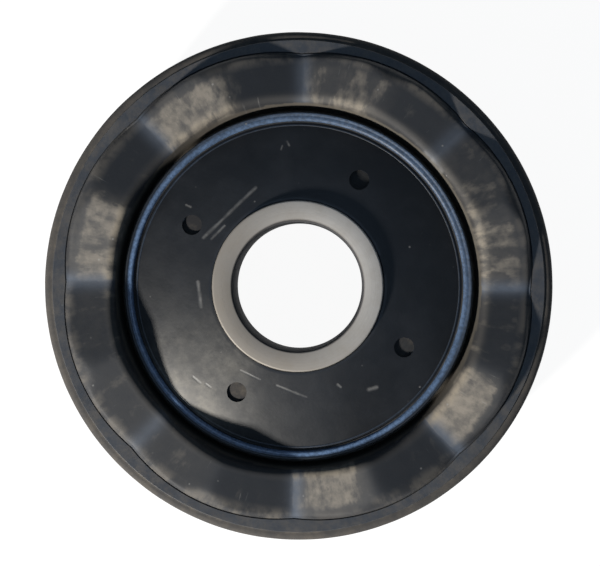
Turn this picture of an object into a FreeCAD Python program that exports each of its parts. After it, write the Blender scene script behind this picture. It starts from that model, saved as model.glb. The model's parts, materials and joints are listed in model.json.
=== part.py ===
"""Rubber and steel bush: a steel sleeve bonded into a round rubber body.

One moulded rubber body holds a plain steel sleeve in its middle and a pressed
steel plate round the sleeve. Its top has a domed dish with four locating pin
pits, a raised ring lip, a deep narrow groove and a crown of eight lobes inside
a flat rim ledge. Its back is a flat land with a shallow relief.

Units are millimetres. The origin is on the axis in the plane of the back, and
+Z runs up the bore to the lobed side. Nothing here moves.
"""

import FreeCAD, Part

import math
import os

# Steel sleeve
SLEEVE_BORE = 26.0
SLEEVE_WALL = 4.0
SLEEVE_LENGTH = 24.0
BORE_CHAMFER = 0.4
SLEEVE_OUTER_CHAMFER = 0.25

# Rubber body, outline and back
RIM_DIAMETER = 102.0
BASE_DRAFT = 1.2
BASE_CHAMFER = 1.2
BACK_LAND_WIDTH = 11.0
BACK_RELIEF_DEPTH = 3.0
BACK_HUB_WIDTH = 5.0
SLEEVE_PROUD_BACK = 0.8
RELIEF_DRAFT = 1.2

# Rim on the lobed side
LEDGE_ABOVE_DISH = 1.8
LEDGE_WIDTH = 2.0
RIM_BAND_WIDTH = 1.7
RIM_BAND_DROP = 2.4
RIM_BAND_FACET_ANGLE = 45.0
RIM_STEP = 0.35

# Domed dish and ring lip
SLEEVE_PROUD_FRONT = 1.4
DISH_RADIUS = 98.0
LIP_WIDTH = 2.6
LIP_HEIGHT = 0.7
LIP_CREST_INSET = 0.8
LIP_EDGE_DROP = 0.25

# Groove between the ring lip and the lobes
GROOVE_DEPTH = 4.4
GROOVE_TOP_WIDTH = 2.1
GROOVE_FLOOR_WIDTH = 1.2

# Crown of lobes
LOBE_COUNT = 8
VALLEY_ANGLE = -1.0
LOBE_WIDTH = 10.7
LOBE_RISE = 4.3
LOBE_OUTER_WALL = 2.1
LOBE_WALL_DRAFT = 0.3
FLANK_SLOPE = 13.5
VALLEY_FALL = 3.5
VALLEY_RADIUS = 9.0
RUN_OUT_WIDTH = 1.8
RUN_OUT_SLOPE = 30.0
CREST_INNER_WIDTH = 2.1
CREST_INNER_DROP = 1.0
CREST_OUTER_WIDTH = 3.9
LOBE_SEAT_DEPTH = 2.0
LOBE_SEAT_OVERLAP = 0.5

# Pressed steel plate inside the rubber, and the pin pits that reach it
PLATE_THICKNESS = 1.2
RUBBER_SKIN = 0.4
LIP_SIDE_SKIN = 0.4
LIP_TOP_SKIN = 0.7
PIT_COUNT = 4
PIT_DIAMETER = 4.0
PIT_ANGLE = 60.0

# How far a cut reaches past what it cuts
OVERRUN = 1.0

# Worked out from the sizes above, from the rim inwards
SLEEVE_RADIUS = SLEEVE_BORE / 2 + SLEEVE_WALL
RIM_RADIUS = RIM_DIAMETER / 2
LEDGE_OUTER_RADIUS = RIM_RADIUS - RIM_BAND_WIDTH
LOBE_OUTER_RADIUS = LEDGE_OUTER_RADIUS - LEDGE_WIDTH
GROOVE_OUTER_RADIUS = LOBE_OUTER_RADIUS - LOBE_WIDTH
LIP_OUTER_RADIUS = GROOVE_OUTER_RADIUS - GROOVE_TOP_WIDTH
DISH_FOOT_RADIUS = LIP_OUTER_RADIUS - LIP_WIDTH
PIT_CIRCLE_RADIUS = (SLEEVE_RADIUS + DISH_FOOT_RADIUS) / 2
CREST_RADIUS = LOBE_OUTER_RADIUS - CREST_OUTER_WIDTH
RUN_OUT_RADIUS = LOBE_OUTER_RADIUS - RUN_OUT_WIDTH
RELIEF_INNER_RADIUS = SLEEVE_RADIUS + BACK_HUB_WIDTH
RELIEF_OUTER_RADIUS = RIM_RADIUS - BASE_DRAFT - BACK_LAND_WIDTH
LOBE_PITCH = 360.0 / LOBE_COUNT

# Heights, from the sleeve's end down and up again
DISH_TOP = SLEEVE_LENGTH - SLEEVE_PROUD_FRONT
DISH_CENTRE = DISH_TOP - math.sqrt(DISH_RADIUS ** 2 - SLEEVE_RADIUS ** 2)
DISH_FOOT = DISH_CENTRE + math.sqrt(DISH_RADIUS ** 2 - DISH_FOOT_RADIUS ** 2)
LIP_CREST = DISH_FOOT + LIP_HEIGHT
LIP_EDGE = LIP_CREST - LIP_EDGE_DROP
GROOVE_FLOOR = DISH_FOOT - GROOVE_DEPTH
LEDGE_HEIGHT = DISH_FOOT + LEDGE_ABOVE_DISH
LOBE_CREST = LEDGE_HEIGHT + LOBE_RISE
LOBE_SEAT = LEDGE_HEIGHT - LOBE_SEAT_DEPTH


def point(radius, height):
    """Point of a section in the XZ half plane."""
    return FreeCAD.Vector(radius, 0, height)


def section_wire(edges):
    """Close a list of connected edges into one wire."""
    return Part.Wire(Part.__sortEdges__([edge.toShape() for edge in edges]))


def polyline(points):
    """Straight edges through the points in turn."""
    return [Part.LineSegment(a, b) for a, b in zip(points, points[1:])]


def turned(edges):
    """Full turn of a closed section about the axis."""
    face = Part.Face(section_wire(edges))
    solid = face.revolve(FreeCAD.Vector(0, 0, 0), FreeCAD.Vector(0, 0, 1), 360)
    return solid


def turned_polygon(corners):
    """Full turn of a closed polygon given as (radius, height) corners."""
    points = [point(r, z) for r, z in corners]
    return turned(polyline(points + points[:1]))


def dish_height(radius):
    """Height of the domed dish at a radius."""
    return DISH_CENTRE + math.sqrt(DISH_RADIUS ** 2 - radius ** 2)


def plate_height(radius, depth):
    """Height in the conical steel plate, at a depth under the dish's chord."""
    slope = (DISH_TOP - DISH_FOOT) / (DISH_FOOT_RADIUS - SLEEVE_RADIUS)
    return DISH_TOP - slope * (radius - SLEEVE_RADIUS) - depth


def groove_wall_radius(height):
    """Radius of the slanted outer wall of the groove at a height."""
    floor_radius = LIP_OUTER_RADIUS + GROOVE_FLOOR_WIDTH
    slant = (GROOVE_OUTER_RADIUS - floor_radius) / (LEDGE_HEIGHT - GROOVE_FLOOR)
    return floor_radius + slant * (height - GROOVE_FLOOR)


def make_sleeve():
    """Plain steel tube with its end edges broken."""
    bore = SLEEVE_BORE / 2
    half = [
        (bore, BORE_CHAMFER),
        (bore + BORE_CHAMFER, 0),
        (SLEEVE_RADIUS - SLEEVE_OUTER_CHAMFER, 0),
        (SLEEVE_RADIUS, SLEEVE_OUTER_CHAMFER),
    ]
    upper = [(r, SLEEVE_LENGTH - z) for r, z in reversed(half)]
    return turned_polygon(half + upper)


def make_plate():
    """Pressed cone from the sleeve out to a turned-up rim inside the ring lip."""
    rim_outer = LIP_OUTER_RADIUS - LIP_SIDE_SKIN
    rim_inner = rim_outer - PLATE_THICKNESS
    rim_top = LIP_CREST - LIP_TOP_SKIN
    under = RUBBER_SKIN + PLATE_THICKNESS
    return turned_polygon([
        (SLEEVE_RADIUS, plate_height(SLEEVE_RADIUS, RUBBER_SKIN)),
        (rim_inner, plate_height(rim_inner, RUBBER_SKIN)),
        (rim_inner, rim_top),
        (rim_outer, rim_top),
        (rim_outer, plate_height(rim_outer, under)),
        (SLEEVE_RADIUS, plate_height(SLEEVE_RADIUS, under)),
    ])


def make_base():
    """Everything of the rubber below the lobes, as one turned section."""
    land_outer = RIM_RADIUS - BASE_DRAFT
    band_top = LEDGE_HEIGHT - RIM_STEP
    band_foot = band_top - RIM_BAND_DROP
    band_turn = math.radians(RIM_BAND_FACET_ANGLE)
    seat_outer = valley_foot_radius() - LOBE_SEAT_OVERLAP
    edges = polyline([
        point(SLEEVE_RADIUS, DISH_TOP),
        point(SLEEVE_RADIUS, SLEEVE_PROUD_BACK),
        point(RELIEF_INNER_RADIUS, SLEEVE_PROUD_BACK),
        point(RELIEF_INNER_RADIUS + RELIEF_DRAFT, BACK_RELIEF_DEPTH),
        point(RELIEF_OUTER_RADIUS - RELIEF_DRAFT, BACK_RELIEF_DEPTH),
        point(RELIEF_OUTER_RADIUS, 0),
        point(land_outer - BASE_CHAMFER, 0),
        point(land_outer, BASE_CHAMFER),
        point(RIM_RADIUS, band_foot),
        point(
            LEDGE_OUTER_RADIUS + RIM_BAND_WIDTH * math.cos(band_turn),
            band_foot + RIM_BAND_DROP * math.sin(band_turn),
        ),
        point(LEDGE_OUTER_RADIUS, band_top),
        point(LEDGE_OUTER_RADIUS, LEDGE_HEIGHT),
        point(seat_outer, LEDGE_HEIGHT),
        point(seat_outer, LOBE_SEAT),
        point(groove_wall_radius(LOBE_SEAT), LOBE_SEAT),
        point(groove_wall_radius(GROOVE_FLOOR), GROOVE_FLOOR),
        point(LIP_OUTER_RADIUS, GROOVE_FLOOR),
        point(LIP_OUTER_RADIUS, LIP_EDGE),
        point(LIP_OUTER_RADIUS - LIP_CREST_INSET, LIP_CREST),
        point(DISH_FOOT_RADIUS, DISH_FOOT),
    ])
    middle = (SLEEVE_RADIUS + DISH_FOOT_RADIUS) / 2
    edges.append(Part.Arc(
        point(SLEEVE_RADIUS, DISH_TOP),
        point(middle, dish_height(middle)),
        point(DISH_FOOT_RADIUS, DISH_FOOT),
    ))
    return turned(edges)


def valley_height(radius):
    """Height of the rounded floor of a valley, set so that the crests beside it reach the top."""
    flank = math.radians(FLANK_SLOPE)
    fall = math.tan(math.radians(VALLEY_FALL))
    half_pitch = math.radians(LOBE_PITCH / 2)
    below_crest = CREST_RADIUS * (
        math.sin(half_pitch) * math.tan(flank) - math.cos(half_pitch) * fall
    )
    rounding = VALLEY_RADIUS * (1 / math.cos(flank) - 1)
    return LOBE_CREST - below_crest - fall * radius + rounding


def valley_foot_radius():
    """Radius at which the run-out of a valley comes down to the ledge."""
    height = valley_height(RUN_OUT_RADIUS) - LEDGE_HEIGHT
    return RUN_OUT_RADIUS + height / math.tan(math.radians(RUN_OUT_SLOPE))


def make_channel(start, end, fall_angle):
    """Vee channel with a rounded floor from one radius to another, falling outward."""
    flank = math.radians(FLANK_SLOPE)
    floor = valley_height(start)
    tangent_y = VALLEY_RADIUS * math.sin(flank)
    tangent_z = floor + VALLEY_RADIUS * (1 - math.cos(flank))
    reach = end * math.tan(math.radians(LOBE_PITCH / 2)) + OVERRUN
    flank_end = tangent_z + (reach - tangent_y) * math.tan(flank)
    left = FreeCAD.Vector(start, -tangent_y, tangent_z)
    right = FreeCAD.Vector(start, tangent_y, tangent_z)
    corners = [
        right,
        FreeCAD.Vector(start, reach, flank_end),
        FreeCAD.Vector(start, reach, flank_end + LOBE_RISE),
        FreeCAD.Vector(start, -reach, flank_end + LOBE_RISE),
        FreeCAD.Vector(start, -reach, flank_end),
        left,
    ]
    floor_arc = Part.Arc(left, FreeCAD.Vector(start, 0, floor), right)
    face = Part.Face(section_wire(polyline(corners) + [floor_arc]))
    run = end - start
    return face.extrude(FreeCAD.Vector(run, 0, -run * math.tan(math.radians(fall_angle))))


def make_lobes():
    """Ring of lobes: a turned block, with a valley and its run-out cut between lobes."""
    wall_top = LEDGE_HEIGHT + LOBE_OUTER_WALL
    shoulder = LOBE_CREST - CREST_INNER_DROP
    ring = turned_polygon([
        (groove_wall_radius(LOBE_SEAT), LOBE_SEAT),
        (LOBE_OUTER_RADIUS, LOBE_SEAT),
        (LOBE_OUTER_RADIUS, LEDGE_HEIGHT),
        (LOBE_OUTER_RADIUS - LOBE_WALL_DRAFT, wall_top),
        (CREST_RADIUS, LOBE_CREST),
        (GROOVE_OUTER_RADIUS + CREST_INNER_WIDTH, LOBE_CREST),
        (groove_wall_radius(shoulder), shoulder),
    ])
    channel_start = GROOVE_OUTER_RADIUS - OVERRUN
    channel_end = LOBE_OUTER_RADIUS + OVERRUN
    channels = [
        make_channel(channel_start, channel_end, VALLEY_FALL),
        make_channel(RUN_OUT_RADIUS, channel_end, RUN_OUT_SLOPE),
    ]
    for i in range(LOBE_COUNT):
        for channel in channels:
            cutter = channel.copy()
            cutter.rotate(
                FreeCAD.Vector(0, 0, 0), FreeCAD.Vector(0, 0, 1), VALLEY_ANGLE + i * LOBE_PITCH
            )
            ring = ring.cut(cutter)
    return ring


def make_pits():
    """Locating pin pits, from above the dish down into the thickness of the steel."""
    foot_height = plate_height(PIT_CIRCLE_RADIUS, RUBBER_SKIN + PLATE_THICKNESS / 2)
    pits = []
    for i in range(PIT_COUNT):
        turn = math.radians(PIT_ANGLE + i * 360 / PIT_COUNT)
        foot = FreeCAD.Vector(
            PIT_CIRCLE_RADIUS * math.cos(turn), PIT_CIRCLE_RADIUS * math.sin(turn), foot_height
        )
        pits.append(Part.makeCylinder(PIT_DIAMETER / 2, DISH_TOP - foot_height, foot))
    return pits


def make_rubber(plate):
    """Moulded rubber round the steel plate, with the lobes and the pin pits."""
    body = make_base().fuse(make_lobes()).removeSplitter()
    return body.cut([plate] + make_pits())


def main():
    """Build every piece and write one file for each."""
    os.makedirs("parts", exist_ok=True)
    plate = make_plate()
    pieces = {
        "rubber_body": make_rubber(plate),
        "inner_sleeve": make_sleeve(),
        "insert_plate": plate,
    }
    for name, shape in pieces.items():
        shape.exportStep("parts/" + name + ".step")
        print(name, len(shape.Solids), "solid", round(shape.Volume, 1), shape.isValid())


main()
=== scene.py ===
"""Looks of a rubber and steel bush: moulded rubber body, steel sleeve, steel plate.

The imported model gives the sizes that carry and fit. The rubber body and the
sleeve are modelled here in full detail and stand for their plain solids; the
plate keeps its own mesh and gets its finish. All lengths are in metres.
"""

import json
import logging
import math
from dataclasses import dataclass, field
from enum import Enum

import bmesh
import bpy
from mathutils import Matrix, Vector, noise

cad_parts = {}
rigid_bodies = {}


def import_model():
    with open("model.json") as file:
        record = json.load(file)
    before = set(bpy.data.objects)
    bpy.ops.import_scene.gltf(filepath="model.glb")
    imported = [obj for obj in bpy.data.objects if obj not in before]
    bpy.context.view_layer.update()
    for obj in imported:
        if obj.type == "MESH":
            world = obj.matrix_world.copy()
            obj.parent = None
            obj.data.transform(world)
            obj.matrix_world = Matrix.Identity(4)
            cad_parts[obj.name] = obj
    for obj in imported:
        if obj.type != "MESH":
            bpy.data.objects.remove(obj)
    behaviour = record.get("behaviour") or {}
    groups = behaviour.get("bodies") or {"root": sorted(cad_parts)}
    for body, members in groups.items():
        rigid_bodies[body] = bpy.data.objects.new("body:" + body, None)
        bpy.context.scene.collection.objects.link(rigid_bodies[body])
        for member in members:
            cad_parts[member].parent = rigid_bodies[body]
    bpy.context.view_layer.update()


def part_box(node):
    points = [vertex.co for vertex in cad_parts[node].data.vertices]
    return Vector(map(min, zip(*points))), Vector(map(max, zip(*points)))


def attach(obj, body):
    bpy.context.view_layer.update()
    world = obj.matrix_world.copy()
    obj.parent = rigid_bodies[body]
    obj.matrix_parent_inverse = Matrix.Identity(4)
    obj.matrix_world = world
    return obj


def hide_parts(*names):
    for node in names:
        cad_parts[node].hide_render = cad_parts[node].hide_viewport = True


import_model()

LOG = logging.getLogger("bush")

Point = tuple[float, float]
Place = tuple[float, float, float]
Colour = tuple[float, float, float, float]
Piece = bpy.types.Object
Node = bpy.types.Node
Socket = bpy.types.NodeSocket
Sockets = bpy.types.bpy_prop_collection
Tree = bpy.types.NodeTree

MM = 0.001
ORIGIN: Place = (0.0, 0.0, 0.0)
LEVEL: Place = (1.0, 1.0, 0.0)
WHITE: Colour = (1.0, 1.0, 1.0, 1.0)
RISING: Point = (0.0, 1.0)
FALLING: Point = (1.0, 0.0)
MIDDLE: Point = (0.3, 0.7)


def deselect() -> None:
    """Leave nothing selected, so that the next operator acts on its own piece."""
    bpy.ops.object.select_all(action="DESELECT")


def only(piece: Piece) -> None:
    """Make one piece the selected and active one.

    Args:
        piece: The piece.
    """
    deselect()
    piece.select_set(True)
    bpy.context.view_layer.objects.active = piece


def name_piece(piece: Piece, name: str) -> None:
    """Name a piece and its mesh alike."""
    piece.name = name
    piece.data.name = name


def smooth_by(piece: Piece, degrees: float) -> None:
    """Shade a piece smooth, apart from edges sharper than an angle."""
    only(piece)
    bpy.ops.object.shade_smooth_by_angle(angle=math.radians(degrees))


def face_outwards() -> None:
    """Point all faces of the piece in edit mode outwards."""
    bpy.ops.mesh.select_all(action="SELECT")
    bpy.ops.mesh.normals_make_consistent(inside=False)


def modify(piece: Piece, kind: str, **settings: object) -> None:
    """Put a modifier on a piece and apply it.

    Args:
        piece: The piece.
        kind: Modifier type, such as BEVEL.
        settings: Attributes of the modifier to set.
    """
    modifier = piece.modifiers.new(kind.lower(), kind)
    for key, value in settings.items():
        setattr(modifier, key, value)
    only(piece)
    bpy.ops.object.modifier_apply(modifier=modifier.name)


def coat(piece: Piece, material: bpy.types.Material) -> None:
    """Make a material the only one of a piece."""
    piece.data.materials.clear()
    piece.data.materials.append(material)


def add_object(name: str, data: bpy.types.ID) -> Piece:
    """Put a lamp or a camera in the scene.

    Args:
        name: Name of its object.
        data: The lamp or the camera.

    Returns:
        The new object.
    """
    piece = bpy.data.objects.new(name, data)
    bpy.context.scene.collection.objects.link(piece)
    return piece


def shares(count: int, first: int = 0) -> list[float]:
    """Shares of a whole in equal steps, the last of them 1."""
    return [step / count for step in range(first, count + 1)]


def held(value: float) -> float:
    """The value, held between 0 and 1."""
    return min(1.0, max(0.0, value))


def softened(value: float, width: float) -> float:
    """The value where it is positive and nothing elsewhere, with a rounded start."""
    return (value + math.hypot(value, width)) / 2


def blended_max(a: float, b: float, width: float) -> float:
    """The larger of two heights, with the change between them rounded."""
    return (a + b + math.hypot(a - b, width)) / 2


class Graph:
    """Short calls for building one node tree."""

    def __init__(self, tree: Tree) -> None:
        """Start on a tree."""
        self.tree = tree

    def node(self, kind: str, **settings: object) -> Node:
        """Add a node.

        Args:
            kind: Node type, such as ShaderNodeMath.
            settings: Attributes of the node to set.

        Returns:
            The new node.
        """
        node = self.tree.nodes.new(kind)
        for key, value in settings.items():
            setattr(node, key, value)
        return node

    def feed(self, socket: Socket, value: object) -> None:
        """Link a socket to another, or set its own value.

        Args:
            socket: The input to feed.
            value: An output socket, a number or a vector.
        """
        if isinstance(value, Socket):
            self.tree.links.new(value, socket)
        else:
            socket.default_value = value

    def math(self, operation: str, first: object, *others: object) -> Socket:
        """Join values by Math nodes, one after another.

        Args:
            operation: What every node does, such as MULTIPLY.
            first: The first socket or number.
            others: The ones that join it in turn.

        Returns:
            The last node's output.
        """
        joined = first
        for value in others:
            node = self.node("ShaderNodeMath", operation=operation)
            self.feed(node.inputs[0], joined)
            self.feed(node.inputs[1], value)
            joined = node.outputs[0]
        return joined

    def times(self, *values: object) -> Socket:
        """Multiply values and return their product."""
        return self.math("MULTIPLY", *values)

    def plus(self, *values: object) -> Socket:
        """Add values and return their sum."""
        return self.math("ADD", *values)

    def most(self, *values: object) -> Socket:
        """Return the largest of the values."""
        return self.math("MAXIMUM", *values)

    def weighed(self, base: object, *parts: tuple[Socket, float]) -> Socket:
        """Add values to a base, each with its own weight."""
        return self.plus(base, *(self.times(value, weight) for value, weight in parts))

    def lifted(self, value: Socket, least: float) -> Socket:
        """Squeeze a value of 0 to 1 so that it starts at a least value."""
        return self.plus(least, self.times(value, 1 - least))

    def held(self, value: Socket) -> Socket:
        """Hold a value between 0 and 1.

        Args:
            value: The value.

        Returns:
            The held value.
        """
        node = self.node("ShaderNodeClamp")
        self.feed(node.inputs["Value"], value)
        return node.outputs[0]

    def vector(self, operation: str, first: object, second: object, output: str = "Vector") -> Socket:
        """Add a Vector Math node.

        Args:
            operation: What the node does, such as SUBTRACT.
            first: The first vector.
            second: The second vector.
            output: Name of the output to take.

        Returns:
            That output.
        """
        node = self.node("ShaderNodeVectorMath", operation=operation)
        self.feed(node.inputs[0], first)
        self.feed(node.inputs[1], second)
        return node.outputs[output]

    def split(self, vector: Socket) -> list[Socket]:
        """Split a vector.

        Args:
            vector: The vector.

        Returns:
            Its three parts.
        """
        node = self.node("ShaderNodeSeparateXYZ")
        self.feed(node.inputs[0], vector)
        return list(node.outputs)

    def join(self, *parts: Socket) -> Socket:
        """Join three numbers.

        Args:
            parts: The numbers.

        Returns:
            The vector that they make.
        """
        node = self.node("ShaderNodeCombineXYZ")
        for socket, part in zip(node.inputs, parts):
            self.feed(socket, part)
        return node.outputs[0]

    def remap(self, value: Socket, start: Point, end: Point = RISING) -> Socket:
        """Map a value smoothly from one range to another, held at the ends.

        Args:
            value: The value to map.
            start: Range that the value is read in.
            end: Range that it is given.

        Returns:
            The mapped value.
        """
        node = self.node("ShaderNodeMapRange", interpolation_type="SMOOTHSTEP")
        self.feed(node.inputs["Value"], value)
        for socket, number in zip(("From Min", "From Max", "To Min", "To Max"), (*start, *end)):
            self.feed(node.inputs[socket], number)
        return node.outputs["Result"]

    def layered(self, base: Colour, *layers: tuple[Socket, Colour]) -> Socket:
        """Lay colours over one another.

        Args:
            base: The lowest colour.
            layers: Share and colour of each layer, from below.

        Returns:
            The colour that shows.
        """
        colour = base
        for share, shade in layers:
            node = self.node("ShaderNodeMix", data_type="RGBA")
            for index, value in ((0, share), (6, colour), (7, shade)):
                self.feed(node.inputs[index], value)
            colour = node.outputs[2]
        return colour

    def noise(self, vector: Socket, scale: object, detail: float = 4.0, roughness: float = 0.55) -> Socket:
        """Add a noise pattern.

        Args:
            vector: Where it is read.
            scale: How fine it is.
            detail: How many finer patterns lie in it.
            roughness: How strong those are.

        Returns:
            Its value from 0 to 1.
        """
        node = self.node("ShaderNodeTexNoise")
        settings = {"Vector": vector, "Scale": scale, "Detail": detail, "Roughness": roughness}
        for name, value in settings.items():
            self.feed(node.inputs[name], value)
        return node.outputs["Fac"]

    def bump(self, height: Socket, depth: float, strength: float) -> Socket:
        """Add a Bump node.

        Args:
            height: The height pattern.
            depth: How deep it goes at a height of 1.
            strength: How strongly it shows.

        Returns:
            The normal that it gives.
        """
        node = self.node("ShaderNodeBump")
        node.inputs["Distance"].default_value = depth
        node.inputs["Strength"].default_value = strength
        self.feed(node.inputs["Height"], height)
        return node.outputs["Normal"]

    def group(self, effect: "Effect", **values: object) -> Sockets:
        """Place an effect's node group.

        Args:
            effect: The effect.
            values: Its inputs by name.

        Returns:
            The outputs of the group.
        """
        node = self.node("ShaderNodeGroup", node_tree=effect.tree())
        for key, value in values.items():
            self.feed(node.inputs[key], value)
        return node.outputs

    def place(self) -> Socket:
        """Return the Object coordinates of the surface."""
        return self.node("ShaderNodeTexCoord").outputs["Object"]

    def radius(self) -> Socket:
        """Return the distance of the surface from the axis."""
        flat = self.vector("MULTIPLY", self.place(), LEVEL)
        return self.vector("LENGTH", flat, ORIGIN, "Value")

    def mask(self, name: str) -> Socket:
        """Return a mask that the mesh holds as an attribute."""
        return self.node("ShaderNodeAttribute", attribute_name=name).outputs["Fac"]


@dataclass(frozen=True)
class Cloud:
    """A noise pattern: how fine it is, the range it is read in and the range it gives."""

    scale: float
    detail: float
    roughness: float
    read: Point
    give: Point = RISING

    def on(self, graph: Graph) -> Socket:
        """Return the pattern's value over the surface."""
        pattern = graph.noise(graph.place(), self.scale, self.detail, self.roughness)
        return graph.remap(pattern, self.read, self.give)


class Effect(Enum):
    """Surface effects that are used more than once, each one node group."""

    GRAIN = "Moulded grain"
    DUST = "Settled dust"
    TURNING = "Turning marks"
    SCUFFS = "Radial scuffs"
    STROKE = "Single scratch"

    def tree(self) -> Tree:
        """Find the effect's node group, or make it on its first use.

        Returns:
            The node group.
        """
        found = bpy.data.node_groups.get(self.value)
        if found:
            return found
        tree = bpy.data.node_groups.new(self.value, "ShaderNodeTree")
        getattr(self, f"_{self.name.lower()}")(tree)
        return tree

    @staticmethod
    def _sockets(
        tree: Tree, inputs: dict[str, object], outputs: tuple[str, ...]
    ) -> tuple[Graph, Sockets, Sockets]:
        """Give a group its sockets.

        Args:
            tree: The group.
            inputs: Inputs with their usual values, numbers or vectors.
            outputs: Names of the number outputs.

        Returns:
            The graph, what the group is given and what it puts out.
        """
        for name, value in inputs.items():
            kind = "NodeSocketVector" if isinstance(value, tuple) else "NodeSocketFloat"
            tree.interface.new_socket(name, in_out="INPUT", socket_type=kind).default_value = value
        for name in outputs:
            tree.interface.new_socket(name, in_out="OUTPUT", socket_type="NodeSocketFloat")
        graph = Graph(tree)
        return graph, graph.node("NodeGroupInput").outputs, graph.node("NodeGroupOutput").inputs

    @staticmethod
    def _grain(tree: Tree) -> None:
        """Fine pimpled skin over a coarser cloud.

        Args:
            tree: The group to fill.
        """
        graph, given, result = Effect._sockets(tree, {"Scale": 900.0}, ("Height", "Cloud"))
        coarser = 0.12
        place = graph.place()
        fine = graph.noise(place, given["Scale"], detail=6.0, roughness=0.62)
        coarse = graph.noise(place, graph.times(given["Scale"], coarser))
        graph.feed(result["Height"], graph.plus(fine, coarse))
        graph.feed(result["Cloud"], graph.remap(coarse, MIDDLE))

    @staticmethod
    def _dust(tree: Tree) -> None:
        """Blotches of dust that lie on what faces up, and rare small specks.

        Args:
            tree: The group to fill.
        """
        graph, given, result = Effect._sockets(tree, {"Scale": 90.0, "Amount": 0.5}, ("Mask", "Specks"))
        facing_up, edge_share, hardness = (0.2, 0.95), 0.8, 4.0
        speck_scale, speck_size, speck_places = 2.6, (0.03, 0.085), (0.50, 0.57)
        place, scale = graph.place(), given["Scale"]
        normal = graph.node("ShaderNodeNewGeometry").outputs["Normal"]
        facing = graph.remap(graph.split(normal)[2], facing_up)
        edge = graph.times(graph.math("SUBTRACT", 1.0, given["Amount"]), edge_share)
        over = graph.math("SUBTRACT", graph.noise(place, scale, detail=8.0, roughness=0.68), edge)
        graph.feed(result["Mask"], graph.times(facing, graph.held(graph.times(over, hardness))))
        cells = graph.node("ShaderNodeTexVoronoi", feature="F1")
        graph.feed(cells.inputs["Vector"], place)
        graph.feed(cells.inputs["Scale"], graph.times(scale, speck_scale))
        dots = graph.remap(cells.outputs["Distance"], speck_size, FALLING)
        rare = graph.remap(graph.noise(place, scale, detail=2.0), speck_places)
        graph.feed(result["Specks"], graph.times(dots, rare))

    @staticmethod
    def _turning(tree: Tree) -> None:
        """Fine rings round the axis, as a lathe leaves them.

        Args:
            tree: The group to fill.
        """
        graph, given, result = Effect._sockets(tree, {"Pitch": 5200.0}, ("Height", "Tone"))
        drift = 30.0
        x, y, _ = graph.split(graph.place())
        across = graph.times(graph.radius(), given["Pitch"])
        turned = graph.join(across, graph.times(x, drift), graph.times(y, drift))
        rings = graph.noise(turned, 1.0, detail=3.0, roughness=0.6)
        graph.feed(result["Height"], rings)
        graph.feed(result["Tone"], graph.remap(rings, MIDDLE))

    @staticmethod
    def _scuffs(tree: Tree) -> None:
        """Patches of scuffed skin, drawn out towards and away from the axis.

        Args:
            tree: The group to fill.
        """
        usual = {"Around": 9.0, "Along": 60.0, "Threshold": 0.5, "Softness": 0.12}
        graph, given, result = Effect._sockets(tree, usual, ("Mask", "Raw"))
        x, y, _ = graph.split(graph.place())
        radius = graph.most(graph.radius(), MM)
        around = [graph.times(graph.math("DIVIDE", side, radius), given["Around"]) for side in (x, y)]
        drawn = graph.join(*around, graph.times(radius, given["Along"]))
        raw = graph.noise(drawn, 1.0, detail=5.0, roughness=0.58)
        over = graph.math("SUBTRACT", raw, given["Threshold"])
        graph.feed(result["Mask"], graph.held(graph.math("DIVIDE", over, given["Softness"])))
        graph.feed(result["Raw"], raw)

    @staticmethod
    def _stroke(tree: Tree) -> None:
        """One straight scratch between two places seen from above, broken up by noise.

        Args:
            tree: The group to fill.
        """
        usual = {"Width": 0.0002, "From": ORIGIN, "To": ORIGIN}
        graph, given, result = Effect._sockets(tree, usual, ("Mask",))
        narrowest, wavy, wave_scale, fade_out = 0.25, 0.5, 500.0, (0.0, 1.6)
        breaks = Cloud(420.0, 3.0, 0.55, (0.34, 0.60), (0.45, 1.0))
        place = graph.place()
        away = graph.vector("SUBTRACT", graph.vector("MULTIPLY", place, LEVEL), given["From"])
        reach = graph.vector("SUBTRACT", given["To"], given["From"])
        along = [graph.vector("DOT_PRODUCT", part, reach, "Value") for part in (away, reach)]
        foot = graph.vector("MULTIPLY", reach, graph.held(graph.math("DIVIDE", *along)))
        gap = graph.vector("DISTANCE", away, foot, "Value")
        width = graph.weighed(narrowest, (graph.noise(place, wave_scale, detail=2.0), wavy))
        gap = graph.math("DIVIDE", gap, graph.times(given["Width"], width))
        line = graph.remap(gap, fade_out, FALLING)
        graph.feed(result["Mask"], graph.times(line, breaks.on(graph)))


def new_material(name: str) -> tuple[bpy.types.Material, Graph, Sockets]:
    """Make a material with one Principled shader.

    Args:
        name: The material's name.

    Returns:
        The material, its graph and the inputs of its shader.
    """
    material = bpy.data.materials.new(name)
    material.use_nodes = True
    shader = material.node_tree.nodes["Principled BSDF"]
    return material, Graph(material.node_tree), shader.inputs


@dataclass(frozen=True)
class StrokeMark:
    """A straight mark seen from above, its ends and width in millimetres: on the dish a scratch, on the lobes
    a painted glint.
    """

    start: Point
    end: Point
    width: float
    zone: str = "dish"


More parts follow.
